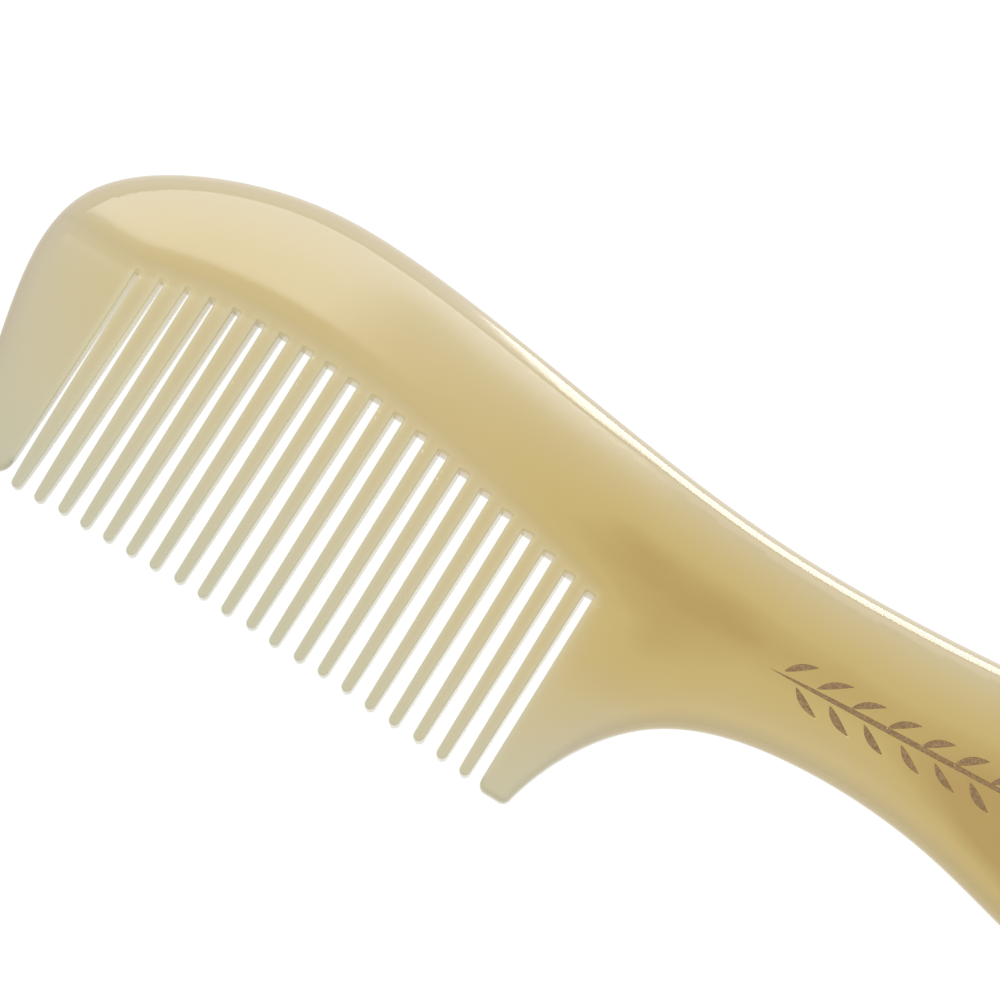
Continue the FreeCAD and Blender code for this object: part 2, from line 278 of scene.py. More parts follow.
@dataclass(frozen=True)
class SprigPlan:
    """Leaf sprig engraved along the handle, in millimetres."""

    start: tuple[float, float] = (18.0, 5.0)
    slope: float = 2.5
    stem_length: float = 62.0
    stem_width: float = 0.75
    leaf_count: int = 12
    leaf_first: float = 1.5
    leaf_last: float = 56.5
    leaf_reach: float = 3.9
    leaf_rise: float = 2.9
    leaf_width: float = 1.0
    leaf_gap: float = 0.55
    depth: float = 0.06
    wall: float = 0.03
    stem_drift: float = 0.2
    stem_bend: float = 0.25
    stem_widest: float = 0.3
    leaf_bend: float = 0.3
    leaf_widest: float = 0.45
    seed: int = 62

    def strokes(self) -> list[Stroke]:
        """Lay out the stem and its leaves; a hand holds the graver, so no two leaves are the same.

        Returns:
            The strokes, at their places on the handle.
        """
        wander = random.Random(self.seed)
        stem_end = self._place(self.stem_length, self.stem_drift)
        strokes = [Stroke(self._place(0, 0), stem_end, self.stem_width, self.stem_bend, self.stem_widest)]
        spacing = (self.leaf_last - self.leaf_first) / (self.leaf_count - 1)
        for index in range(self.leaf_count):
            for side, offset in ((1, 0.0), (-1, 0.5)):
                foot_x = self.leaf_first + (index + offset) * spacing + wander.uniform(-0.2, 0.2)
                reach = self.leaf_reach + wander.uniform(-0.25, 0.25)
                rise = self.leaf_rise + wander.uniform(-0.2, 0.15)
                foot = self._place(foot_x, side * self.leaf_gap)
                point = self._place(foot_x + reach, side * rise)
                width = self.leaf_width * wander.uniform(0.85, 1.1)
                strokes.append(Stroke(foot, point, width, side * self.leaf_bend, self.leaf_widest))
        return strokes

    def _place(self, along: float, across: float) -> tuple[float, float]:
        """Place on the comb of a point given along and across the stem."""
        angle = math.radians(self.slope)
        return (self.start[0] + along * math.cos(angle) - across * math.sin(angle),
                self.start[1] + along * math.sin(angle) + across * math.cos(angle))


def inside(points: np.ndarray, ring: np.ndarray) -> np.ndarray:
    """Tell which points lie inside a closed ring.

    Args:
        points: rows of x and y to test.
        ring: the ring's corners in order.

    Returns:
        True for each point inside.
    """
    x, y = points.T
    crossed = np.zeros(len(points), bool)
    for (x0, y0), (x1, y1) in zip(ring, np.roll(ring, -1, axis=0)):
        if y0 != y1:
            crossed ^= ((y0 > y) != (y1 > y)) & (x < x0 + (y - y0) * (x1 - x0) / (y1 - y0))
    return crossed


@dataclass
class CombPlan:
    """Sizes of the comb in millimetres, and the curves and thicknesses that follow from them."""

    outline_poles: tuple[tuple[float, float], ...] = (
        (-85.0, -25.3), (-87.5, -19.4), (-92.1, -5.0), (-94.9, 15.1), (-70.7, 27.2),
        (-52.6, 28.1), (-30.4, 25.3), (-10.8, 22.2), (10.4, 19.8), (31.0, 20.3),
        (51.8, 22.1), (72.4, 25.5), (95.0, 18.5), (92.7, -10.0), (67.8, -10.5),
        (48.9, -4.0), (27.8, -2.6), (6.4, -7.1), (-0.6, -21.0), (-1.9, -27.6),
    )
    arch_poles: tuple[tuple[float, float], ...] = ((-79.8, 6.6), (-54.5, 13.4), (-30.5, 7.2), (-6.1, 1.05))
    half_plate: float = 3.0
    tooth_count: int = 20
    fine_steps: int = 6
    fine_pitch: float = 3.5
    main_pitch: float = 3.71
    first_tooth_x: float = -77.7
    root_widths: tuple[float, float] = (2.7, 2.15)
    tip_widths: tuple[float, float] = (1.15, 1.45)
    fullness: tuple[float, float] = (0.45, 0.85)
    tip_line_crown: tuple[float, float] = (-55.0, -25.3)
    tip_line_bend: float = 0.0009
    front_inner_x: float = -79.65
    rear_inner_x: float = -6.1
    step_height: float = 1.7
    step_depth: float = 0.13
    step_softness: float = 0.9
    edge_crown: float = 0.4
    crown_width: float = 15.0
    head_thinning: float = 0.3
    head_span: tuple[float, float] = (0.0, -45.0)
    taper_span: tuple[float, float] = (4.0, -8.0)
    taper_depth: float = 0.29
    taper_width: float = 6.4
    hand_wave: float = 0.012
    root_half_thickness: float = 2.15
    tip_half_thickness: float = 1.05
    tooth_reach: float = 33.0
    tooth_hollow: float = 1.2
    teeth_fade: float = 3.0
    crook_thinning: float = 0.9
    crook_span: tuple[float, float] = (-5.0, -27.0)
    rim_reach: float = 2.5
    rim_drop: float = 2.35
    rim_sweep: float = 90.0
    head_flattening: float = 26.0
    guard_span: tuple[float, float] = (-6.0, -24.0)
    back_span: tuple[float, float] = (-2.0, 10.0)
    front_tip_radius: float = 2.35
    front_tip_clear: float = 2.45
    front_cut_clear: float = 2.8
    front_tip_rim: tuple[float, float] = (0.9, 1.0)
    rear_tip_radius: float = 1.15
    rear_tip_clear: float = 1.3
    rear_cut_clear: float = 1.6
    rear_tip_rim: tuple[float, float] = (0.7, 0.9)
    mid_head_x: float = -50.0
    tooth_round: float = 0.32
    saw_wander: float = 0.06
    cut_spacing: float = 0.45
    cut_end_spacing: float = 0.2
    outline_spacing: float = 0.4
    edge_allowance: float = 0.9998
    seed: int = 20
    outline: np.ndarray = field(init=False)
    arch: np.ndarray = field(init=False)
    teeth: list[Tooth] = field(init=False)

    def __post_init__(self) -> None:
        """Work out the outline, the root arch and the teeth."""
        curve = clamped_cubic(self.outline_poles, 6000)
        self.outline = respace(curve, self.outline_spacing) * self.edge_allowance
        self.arch = clamped_cubic(self.arch_poles, 400)
        wander = random.Random(self.seed)
        self.teeth = [self._tooth(index, wander) for index in range(self.tooth_count)]

    def arch_y(self, x: np.ndarray | float) -> np.ndarray:
        """Height of the line on which the saw cuts end."""
        return np.interp(x, self.arch[:, 0], self.arch[:, 1])

    def tip_line_y(self, x: np.ndarray | float) -> np.ndarray:
        """Height of the gently bent line on which the teeth end."""
        crown_x, crown_y = self.tip_line_crown
        return crown_y - self.tip_line_bend * (np.asarray(x, float) - crown_x) ** 2

    def _tooth(self, index: int, wander: random.Random) -> Tooth:
        """One tooth; hand sawing makes its place and width wander a little.

        Args:
            index: the tooth's number, from 0 at the front guard.
            wander: where the random draws come from.

        Returns:
            The tooth.
        """
        fine, rest = min(index, self.fine_steps), max(index - self.fine_steps, 0)
        centre = self.first_tooth_x + self.fine_pitch * fine + self.main_pitch * rest
        blend = min(index / self.fine_steps, 1.0)
        centre += wander.uniform(-1, 1) * self.saw_wander
        root, tip, fullness = (pair[0] + (pair[1] - pair[0]) * blend
                               for pair in (self.root_widths, self.tip_widths, self.fullness))
        tip_y = float(self.tip_line_y(centre)) + wander.uniform(-1, 1) * 3 * self.saw_wander
        root += wander.uniform(-1, 1) * self.saw_wander
        return Tooth(centre, tip_y, float(self.arch_y(centre)), root / 2, tip / 2, fullness)

    def loop(self) -> Loop:
        """Follow the whole edge, clockwise from the tip of the front guard over the back of the head.

        Returns:
            The edge and its rounding.
        """
        stretches: list[tuple[np.ndarray, float, float]] = []
        outline = self.outline
        front_corner, rear_corner = np.array([self.front_inner_x, outline[0, 1]]), outline[-1]
        rear_inner = np.array([self.rear_inner_x, outline[-1, 1]])
        keep = (outline[:, 1] > outline[0, 1] + self.front_tip_clear) | (outline[:, 0] > self.mid_head_x)
        keep &= (outline[:, 1] > outline[-1, 1] + self.rear_tip_clear) | (outline[:, 0] < self.mid_head_x)
        # A few steps along the outline, and a few millimetres up a guard, give each run its direction.
        run, up_guard = 8, (0, 9)
        outer_arc = corner_arc(outline[-run], rear_corner, rear_inner, self.rear_tip_radius, 9)
        inner_arc = corner_arc(rear_corner, rear_inner, rear_inner + up_guard, self.rear_tip_radius, 9)
        between = respace(np.array([outer_arc[-1], inner_arc[0]]), 0.35)[1:-1]
        rear_tip = np.concatenate([outer_arc, between, inner_arc])
        front_tip = np.concatenate([
            corner_arc(front_corner + up_guard, front_corner, outline[0], self.front_tip_radius, 12),
            corner_arc(front_corner, outline[0], outline[run], self.front_tip_radius, 12)])
        stretches.append((outline[keep], self.rim_reach, self.rim_drop))
        stretches.append((rear_tip, *self.rear_tip_rim))
        stretches += [(cut, self.tooth_round, self.tooth_round) for cut in self._cuts()]
        stretches.append((front_tip, *self.front_tip_rim))
        points = np.concatenate([stretch[0] for stretch in stretches])
        reach, drop = (np.concatenate([np.full(len(stretch[0]), stretch[part]) for stretch in stretches])
                       for part in (1, 2))
        sweep = np.full(len(points), self.rim_sweep)
        outer = len(outline[keep])
        x, y = points[:outer].T
        towards_tip = smooth(y, *self.guard_span)
        tip_reach, tip_drop = self.front_tip_rim
        reach[:outer] += (tip_reach - self.rim_reach) * towards_tip
        drop[:outer] += (tip_drop - self.rim_drop) * towards_tip
        flattened = smooth(x, *self.guard_span) * smooth(y, *self.back_span)
        sweep[:outer] = self.rim_sweep - self.head_flattening * flattened
        return Loop(points, reach, drop, sweep)

    def cut_edges(self) -> tuple[np.ndarray, np.ndarray]:
        """Sort the points of the saw cuts' edges into flanks and ends.

        Returns:
            Points along the teeth's flanks, and points across the cuts' ends.
        """
        flanks, ends = [], []
        for edge in self._cuts():
            at_end = edge[:, 1] > edge[:, 1].max() - 0.01
            flanks.append(edge[~at_end])
            ends.append(edge[at_end])
        return np.concatenate(flanks), np.concatenate(ends)

    def _cuts(self) -> list[np.ndarray]:
        """Edges of all the saw cuts, from the rear guard to the front guard."""
        posts = [None, *reversed(self.teeth), None]
        return [self._cut(left, right) for right, left in zip(posts, posts[1:])]

    def _cut(self, left: Tooth | None, right: Tooth | None) -> np.ndarray:
        """Edge of one saw cut: up its right side, across its end and down its left side.

        Args:
            left: the tooth towards the front guard, or None for the guard itself.
            right: the tooth towards the rear guard, or None for the guard itself.

        Returns:
            Rows of x and y.
        """
        spacing = self.cut_spacing
        near_right = right.centre if right else self.rear_inner_x
        near_left = left.centre if left else self.front_inner_x
        top = float(self.arch_y((near_left + near_right) / 2))
        if right:
            up = right.flank(-1, top, spacing)[::-1][1:]
        else:
            low = self.outline[-1, 1] + self.rear_cut_clear
            up = respace(np.array([[self.rear_inner_x, low], [self.rear_inner_x, top]]), spacing)
        if left:
            down = left.flank(1, top, spacing)
        else:
            low = self.outline[0, 1] + self.front_cut_clear
            down = respace(np.array([[self.front_inner_x, top], [self.front_inner_x, low]]), spacing)
        across = respace(np.array([up[-1], down[0]]), self.cut_end_spacing)[1:-1]
        return np.concatenate([up, across, down])

    def half_thickness(self, x: np.ndarray, y: np.ndarray, from_edge: np.ndarray) -> np.ndarray:
        """Half of the plate's thickness at each place, before its rims are rounded.

        Args:
            x: places along the comb.
            y: places across the comb.
            from_edge: distance of each place from the comb's outer edge.

        Returns:
            Half thickness in millimetres.
        """
        inwards = np.clip(from_edge / self.crown_width, 0.0, 1.0)
        half = self.half_plate - self.edge_crown * (1.0 - inwards) ** 2
        half = half - self.head_thinning * smooth(x, *self.head_span)
        half = half - self.hand_wave * (1.0 + self._waves(x, y))
        above_roots = y - self.arch_y(x)
        head = smooth(x, *self.taper_span)
        half = half - head * self.taper_depth * (1.0 - np.clip(above_roots / self.taper_width, 0.0, 1.0)) ** 2
        in_step = smooth(above_roots, self.step_height + self.step_softness / 2,
                         self.step_height - self.step_softness / 2)
        in_step = in_step * smooth(x, self.rear_inner_x + 1.2, self.rear_inner_x + 0.2)
        half = half - self.step_depth * in_step
        down = np.clip(-above_roots / self.tooth_reach, 0.0, 1.0)
        in_teeth = smooth(x, self.rear_inner_x + self.teeth_fade, self.rear_inner_x)
        tooth_thinning = self.root_half_thickness - self.tip_half_thickness
        half = half - in_teeth * tooth_thinning * down ** self.tooth_hollow
        return half - (1.0 - in_teeth) * self.crook_thinning * smooth(y, *self.crook_span)

    @staticmethod
    def _waves(x: np.ndarray, y: np.ndarray) -> np.ndarray:
        """Slow waves that filing by hand leaves, from -1 to 1, about 15 to 50 mm long."""
        waves = np.sin(x / 2.9 + 0.5 * np.sin(y / 3.1)) + np.sin(x / 5.3 - y / 4.1 + 1.0)
        return (waves + np.sin(y / 2.3 + x / 7.7)) / 3.0


# ------------------------------------------------------------------------------------ mesh building

@dataclass(frozen=True)
class DepthMap:
    """How deep the horn looks, with painted light in it, how much painted glow leaves it and how much painted
    shade its rim gets, place by place.

    Shares are of full depth or brightness; reaches and spans are in millimetres.
    """

    rim_share: float = 0.26
    rim_eased: float = 0.16
    rim_reach: float = 2.0
    broad_share: float = 0.03
    broad_more: float = 0.12
    broad_reach: float = 8.0
    broad_along: tuple[float, float] = (10.0, -30.0)
    broad_across: tuple[float, float] = (6.0, 16.0)
    flank_share: float = 0.45
    flank_reach: float = 0.3
    end_share: float = 0.1
    end_reach: float = 0.35
    handle_along: tuple[float, float] = (0.0, 8.0)
    handle_across: tuple[float, float] = (12.0, 4.0)
    amber_share: float = 0.09
    amber_along: tuple[float, float] = (30.0, 60.0)
    amber_across: tuple[float, float] = (10.0, 0.0)
    light_reach: float = 0.22
    light_top: float = 1.4
    light_loss: float = 0.7
    light_span: tuple[float, float] = (0.1, 0.7)
    narrow_more: float = 0.6
    narrow_along: tuple[float, float] = (-62.0, -78.0)
    narrow_across: tuple[float, float] = (-18.0, 0.0)
    band_share: float = 0.25
    band_centre: float = 1.9
    band_width: float = 1.1
    body_across: tuple[float, float] = (-24.0, -8.0)
    rim_shade_reach: float = 2.2
    rim_shade_eased: float = 0.8

    def store(self, mesh: bpy.types.Mesh, plan: CombPlan) -> None:
        """Store the three numbers at each point of the mesh.

        Args:
            mesh: the comb's mesh, in metres.
            plan: the plan that it was built from.
        """
        places = np.empty(len(mesh.vertices) * 3)
        mesh.vertices.foreach_get("co", places)
        x, y, z = places.reshape(-1, 3).T / MM
        flat = np.column_stack([x, y])
        from_outline, _ = nearest(flat, plan.outline)
        flanks, ends = plan.cut_edges()
        from_flank, from_end = nearest(flat, flanks)[0], nearest(flat, ends)[0]
        half = plan.half_thickness(x, y, from_outline)
        under_handle = smooth(x, *self.handle_along) * smooth(y, *self.handle_across)
        in_body = smooth(y, *self.body_across)

        # Horn is paler near an edge, where it thins; on the head and back the wider paling is partly the
        # thinner horn and partly a painted sheen where the soft boxes' light falls. Beside the saw cuts'
        # flanks and ends the paling is painted light, as if light came in through the walls. The horn is
        # deeper along the handle's lower side.
        thin = half / plan.half_plate
        head_or_back = np.maximum(smooth(x, *self.broad_along), smooth(y, *self.broad_across))
        broad = self.broad_share + self.broad_more * head_or_back
        close = self.rim_share - self.rim_eased * under_handle
        at_rim = (1.0 - close * np.exp(-from_outline / self.rim_reach)
                  - broad * np.exp(-from_outline / self.broad_reach))
        painted_cut_light = (1.0 - self.flank_share * np.exp(-from_flank / self.flank_reach)
                  - self.end_share * np.exp(-from_end / self.end_reach))
        amber = self.amber_share * smooth(x, *self.amber_along) * smooth(y, *self.amber_across)
        self._put(mesh, "horn_depth", thin * at_rim * painted_cut_light + amber)

        # Painted glow: emission, as if light left the walls of the saw cuts, most near the upper face, and a
        # band along the handle.
        below_face = np.clip((plan.half_plate + half - z) / (2 * half), 0.0, 1.0)
        near_cut = np.exp(-np.minimum(from_flank, from_end) / self.light_reach)
        narrow = 1.0 + self.narrow_more * smooth(x, *self.narrow_along) * smooth(y, *self.narrow_across)
        band = np.exp(-((from_outline - self.band_centre) / self.band_width) ** 2) * in_body * under_handle
        falling = self.light_top - self.light_loss * smooth(below_face, *self.light_span)
        self._put(mesh, "through_light", near_cut * narrow * falling + self.band_share * band)

        # Painted shade: the rounded rim is mixed towards a greyer tan, less so along the handle's lower side.
        rim_shading = np.exp(-from_outline / self.rim_shade_reach) * in_body * (1.0 - self.rim_shade_eased * under_handle)
        self._put(mesh, "painted_rim_shade", rim_shading)

    @staticmethod
    def _put(mesh: bpy.types.Mesh, name: str, values: np.ndarray) -> None:
        """Store one number for each point of the mesh."""
        mesh.attributes.new(name, "FLOAT", "POINT").data.foreach_set("value", values.astype(np.float32))


@dataclass
class PlateMesher:
    """Builds the closed mesh of a flat carved piece from its plan."""

    plan: CombPlan
    sprig: SprigPlan
    grid: float = 0.6
    ring_angles: tuple[float, ...] = (16.0, 32.0, 48.0, 64.0, 78.0, 90.0)
    wall_steps: int = 3
    least_wall: float = 0.25
    crease_angle: float = 50.0
    merge_distance: float = 1e-6
    stroke_clear: float = 0.2
    ring_clear: float = 0.97
    least_ring: float = 0.02
    grid_clear: float = 0.3
    depth_map: DepthMap = field(default_factory=DepthMap)

    def build(self, name: str) -> bpy.types.Object:
        """Make the comb's mesh object.

        Args:
            name: name of the object and its mesh.

        Returns:
            The linked object, in metres.
        """
        loop = self.plan.loop()
        points, shares, drops = self._plan_points(loop)
        count = len(loop.points)
        edges = [(i, (i + 1) % count) for i in range(count)]
        points, shares, drops, carved = self._engrave(points, shares, drops, edges)
        vertices, _, faces, origins, _, _ = delaunay_2d_cdt(
            [Vector(p) for p in points], edges, [], 1, self.merge_distance)
        source = np.array([ids[0] if ids else -1 for ids in origins])
        flat = np.array([tuple(v) for v in vertices])
        share, drop = shares[source], drops[source]
        from_edge, _ = nearest(flat, self.plan.outline)
        half = self.plan.half_thickness(flat[:, 0], flat[:, 1], from_edge)
        drop = np.minimum(drop, half - self.least_wall)
        height = half - drop * (1.0 - share)
        middle = self.plan.half_plate
        number = len(flat)
        place = {int(ids): index for index, ids in enumerate(source) if ids >= 0}
        rim = [place[i] for i in range(count)]
        top = np.column_stack([flat, middle + height - carved[source]])
        bottom = np.column_stack([flat, middle - height])
        wall_points, wall_faces = self._wall(rim, height, flat, number)
        faces = [tuple(face) for face in faces]
        area = sum(self._signed(flat, face) for face in faces)
        up = faces if area > 0 else [face[::-1] for face in faces]
        down = [tuple(i + number for i in face[::-1]) for face in up]
        mesh = bpy.data.meshes.new(name)
        everything = np.concatenate([top, bottom, wall_points]) * MM
        mesh.from_pydata(everything.tolist(), [], up + down + wall_faces)
        mesh.validate()
        mesh.shade_smooth()
        mesh.set_sharp_from_angle(angle=math.radians(self.crease_angle))
        self.depth_map.store(mesh, self.plan)
        piece = bpy.data.objects.new(name, mesh)
        bpy.context.scene.collection.objects.link(piece)
        return piece

    def _engrave(self, points: np.ndarray, shares: np.ndarray, drops: np.ndarray,
                 edges: list[tuple[int, int]]) -> tuple[np.ndarray, np.ndarray, np.ndarray, np.ndarray]:
        """Cut the sprig's strokes into the upper face.

        Args:
            points: points of the plan.
            shares: how far each point is up its rim.
            drops: how deep the rim is at each point.
            edges: edges that the mesh must keep; the strokes' edges are added.

        Returns:
            The points, shares and drops with the strokes added, and how deep each point is carved.
        """
        carved = np.zeros(len(points))
        rings: list[tuple[np.ndarray, float]] = []
        for stroke in self.sprig.strokes():
            outer, inner = stroke.outline(0.0), stroke.outline(self.sprig.wall)
            rings += [(outer, 0.0), (inner, self.sprig.depth)]
            carved[inside(points, inner)] = self.sprig.depth
        distance, _ = nearest(points, np.concatenate([ring for ring, _ in rings]))
        keep = distance > self.stroke_clear
        keep[:max(max(edge) for edge in edges) + 1] = True
        points, shares, drops, carved = points[keep], shares[keep], drops[keep], carved[keep]
        for ring, depth in rings:
            first = len(points)
            edges += [(first + i, first + (i + 1) % len(ring)) for i in range(len(ring))]
            points = np.concatenate([points, ring])
            shares, drops = np.append(shares, np.ones(len(ring))), np.append(drops, np.zeros(len(ring)))
            carved = np.append(carved, np.full(len(ring), depth))
        return points, shares, drops, carved

    @staticmethod
    def _signed(flat: np.ndarray, face: Sequence[int]) -> float:
        """Signed area of one triangle, positive when it runs anticlockwise."""
        a, b, c = flat[list(face)[:3]]
        return float((b[0] - a[0]) * (c[1] - a[1]) - (b[1] - a[1]) * (c[0] - a[0]))

    def _plan_points(self, loop: Loop) -> tuple[np.ndarray, np.ndarray, np.ndarray]:
        """Points of the plan: the edge, rings that follow it inwards and an even grid between.

        Args:
            loop: the plate's edge, with its rounding.

        Returns:
            The points, how far each is up its rim, and how deep the rim is there.
        """
        ahead, behind = np.roll(loop.points, -1, axis=0), np.roll(loop.points, 1, axis=0)
        tangent = ahead - behind
        tangent /= np.maximum(np.linalg.norm(tangent, axis=1, keepdims=True), 1e-9)
        inward = np.stack([tangent[:, 1], -tangent[:, 0]], axis=1)
        points, shares, drops = [loop.points], [np.zeros(len(loop.points))], [loop.drop]
        for angle in self.ring_angles:
            theta = np.radians(angle / 90.0 * loop.sweep)
            depth = loop.reach * (1 - np.cos(theta)) / (1 - np.cos(np.radians(loop.sweep)))
            share = np.sin(theta) / np.sin(np.radians(loop.sweep))
            ring = loop.points + inward * depth[:, None]
            distance, _ = nearest(ring, loop.points)
            clear = (distance > self.ring_clear * depth) & (depth > self.least_ring)
            points.append(ring[clear])
            shares.append(share[clear])
            drops.append(loop.drop[clear])
        low, high = loop.points.min(axis=0), loop.points.max(axis=0)
        rows = np.arange(low[1], high[1], self.grid * math.sqrt(3) / 2)
        columns = np.arange(low[0], high[0], self.grid)
        x, y = np.meshgrid(columns, rows)
        x = x + (np.arange(len(rows)) % 2)[:, None] * self.grid / 2
        grid = np.column_stack([x.ravel(), y.ravel()])
        distance, index = nearest(grid, loop.points)
        grid = grid[distance > loop.reach[index] + self.grid_clear * self.grid]
        points.append(grid)
        shares.append(np.ones(len(grid)))
        drops.append(np.zeros(len(grid)))
        return np.concatenate(points), np.concatenate(shares), np.concatenate(drops)

    def _wall(self, rim: list[int], height: np.ndarray, flat: np.ndarray,
              number: int) -> tuple[np.ndarray, list[tuple[int, ...]]]:
        """Upright wall between the rims of the two faces.

        Args:
            rim: indices of the upper face's rim, in order.
            height: half thickness at each point of the plan.
            flat: the plan's points.
            number: how many points one face has.

        Returns:
            The wall's own points, and its faces.
        """
        middle = self.plan.half_plate
        levels = [rim]
        added: list[np.ndarray] = []
        for step in range(1, self.wall_steps):
            share = 1 - 2 * step / self.wall_steps
            first = 2 * number + (step - 1) * len(rim)
            added.append(np.column_stack([flat[rim], middle + share * height[rim]]))
            levels.append(list(range(first, first + len(rim))))
        levels.append([index + number for index in rim])
        faces = []
        for upper, lower in zip(levels, levels[1:]):
            for here in range(len(rim)):
                after = (here + 1) % len(rim)
                faces.append((upper[here], upper[after], lower[after], lower[here]))
        return np.concatenate(added), faces


# ----------------------------------------------------------------------------------------- finishes

def add_node(tree: bpy.types.NodeTree, kind: str, links: dict[str, bpy.types.NodeSocket] | None = None,
             inputs: dict[str, object] | None = None, **settings: object) -> bpy.types.Node:
    """Add one node with its settings, its input values and the links into it.

    Args:
        tree: node tree to add to.
        kind: Blender's name of the node type.
        links: sockets to link into this node's inputs, by input name.
        inputs: values of this node's inputs, by input name.
        settings: attributes of the node itself.

    Returns:
        The new node.
    """
    node = tree.nodes.new(kind)
    for name, value in settings.items():
        setattr(node, name, value)
    for name, value in (inputs or {}).items():
        node.inputs[name].default_value = value
    for name, socket in (links or {}).items():
        tree.links.new(socket, node.inputs[name])
    return node


def set_ramp(node: bpy.types.Node, stops: Sequence[tuple[float, str]]) -> None:
    """Give a colour ramp its stops.

    Args:
        node: the colour ramp's node.
        stops: places from 0 to 1, each with an sRGB hex colour.
    """
    ramp = node.color_ramp
    while len(ramp.elements) < len(stops):
        ramp.elements.new(1.0)
    for element, (place, colour) in zip(ramp.elements, stops):
        element.position = place
        element.color = linear(colour)


@dataclass(frozen=True)
class PolishedHorn:
    """Pressed and buffed ox horn: translucent keratin, amber where thick and grey-white where thin, with
    painted shade on its rim and painted paling and an emission glow by the saw cuts.
    """

    name: str = "polished_ox_horn"
    shades: tuple[tuple[float, str], ...] = (
        (0.15, "#D0CFBF"), (0.35, "#D5CFAF"), (0.5, "#D9CFAB"), (0.65, "#DBCC9F"),
        (0.8, "#DBC792"), (0.95, "#D4BB75"), (1.0, "#C3A460"))
    roughness: float = 0.1
    ior: float = HORN_IOR
    clouding: float = 0.08
    rim_shade: str = "#D2C4AA"
    glow: float = 0.12
    streak_height: float = 0.002
    cloud_size: float = 12.0
    cloud_squeeze: tuple[float, float, float] = (0.5, 1.0, 1.0)
    line_size: float = 0.9
    line_squeeze: tuple[float, float, float] = (1.0, 0.03, 1.0)
    line_turn: float = 35.0

    def make(self) -> bpy.types.Material:
        """Build the material.

        Returns:
            The new material.
        """
        material = bpy.data.materials.new(self.name)
        material.use_nodes = True
        tree = material.node_tree
        shader = tree.nodes["Principled BSDF"]
        place = add_node(tree, "ShaderNodeTexCoord").outputs["Object"]
        depth = add_node(tree, "ShaderNodeAttribute", attribute_name="horn_depth").outputs["Fac"]
        # Clouds about 12 mm across and twice as long along the plate, as in the grain of pressed horn.
        grain = add_node(tree, "ShaderNodeMapping", links={"Vector": place},
                         inputs={"Scale": self.cloud_squeeze})
        clouds = add_node(tree, "ShaderNodeTexNoise", links={"Vector": grain.outputs["Vector"]},
                          inputs={"Scale": 1 / (self.cloud_size * MM), "Detail": 3.0, "Roughness": 0.5})
        centred = add_node(tree, "ShaderNodeMath", links={0: clouds.outputs["Fac"]}, inputs={1: 0.5},
                           operation="SUBTRACT")
        clouded = add_node(tree, "ShaderNodeMath", links={0: centred.outputs[0], 2: depth},
                           inputs={1: self.clouding}, operation="MULTIPLY_ADD")
        ramp = add_node(tree, "ShaderNodeValToRGB", links={"Fac": clouded.outputs[0]})
        set_ramp(ramp, self.shades)
        # Painted shade: the rounded rim's colour is mixed towards a greyer tan, standing in for the shade on
        # its sloping face.
        rim_shade_mask = add_node(tree, "ShaderNodeAttribute", attribute_name="painted_rim_shade").outputs["Fac"]
        shade = add_node(tree, "ShaderNodeMixRGB", links={"Fac": rim_shade_mask, "Color1": ramp.outputs["Color"]},
                         inputs={"Color2": linear(self.rim_shade)}).outputs["Color"]
        tree.links.new(shade, shader.inputs["Base Color"])
        # Fine lines left across the plate by the buffing wheel, about 0.9 mm apart and 30 mm long.
        sweep = add_node(tree, "ShaderNodeMapping", links={"Vector": place},
                         inputs={"Rotation": (0, 0, math.radians(self.line_turn)),
                                 "Scale": self.line_squeeze})
        lines = add_node(tree, "ShaderNodeTexNoise", links={"Vector": sweep.outputs["Vector"]},
                         inputs={"Scale": 1 / (self.line_size * MM), "Detail": 2.0, "Roughness": 0.6})
        buffed = add_node(tree, "ShaderNodeBump", links={"Height": lines.outputs["Fac"]},
                          inputs={"Distance": self.streak_height * MM, "Strength": 1.0})
        tree.links.new(buffed.outputs["Normal"], shader.inputs["Normal"])
        # Painted light: emission makes the sawn flanks, and a band along the handle, glow a little, as if
        # light from below came out through them.
        through = add_node(tree, "ShaderNodeAttribute", attribute_name="through_light").outputs["Fac"]
        glow = add_node(tree, "ShaderNodeMath", links={0: through}, inputs={1: self.glow},
                        operation="MULTIPLY")
        tree.links.new(shade, shader.inputs["Emission Color"])
        tree.links.new(glow.outputs[0], shader.inputs["Emission Strength"])
        shader.inputs["Roughness"].default_value = self.roughness
        shader.inputs["IOR"].default_value = self.ior
        return material


@dataclass(frozen=True)
class ScorchedHorn:
    """Horn browned by a hot graver: dull, grainy and darker than the polished face around it."""

    name: str = "scorched_horn"
    shades: tuple[tuple[float, str], ...] = ((0.35, "#87683F"), (0.5, "#98784B"), (0.65, "#AC8C5E"))
    roughness: float = 0.55
    grain_size: float = 0.3

    def make(self) -> bpy.types.Material:
        """Build the material.

        Returns:
            The new material.
        """
        material = bpy.data.materials.new(self.name)
        material.use_nodes = True
        tree = material.node_tree
        shader = tree.nodes["Principled BSDF"]
        place = add_node(tree, "ShaderNodeTexCoord").outputs["Object"]
        # Grains about 0.3 mm across.
        grains = add_node(tree, "ShaderNodeTexNoise", links={"Vector": place},
                          inputs={"Scale": 1 / (self.grain_size * MM), "Detail": 3.0, "Roughness": 0.6})
        ramp = add_node(tree, "ShaderNodeValToRGB", links={"Fac": grains.outputs["Fac"]})
        set_ramp(ramp, self.shades)
        tree.links.new(ramp.outputs["Color"], shader.inputs["Base Color"])
        shader.inputs["Roughness"].default_value = self.roughness
        shader.inputs["IOR"].default_value = HORN_IOR
        return material


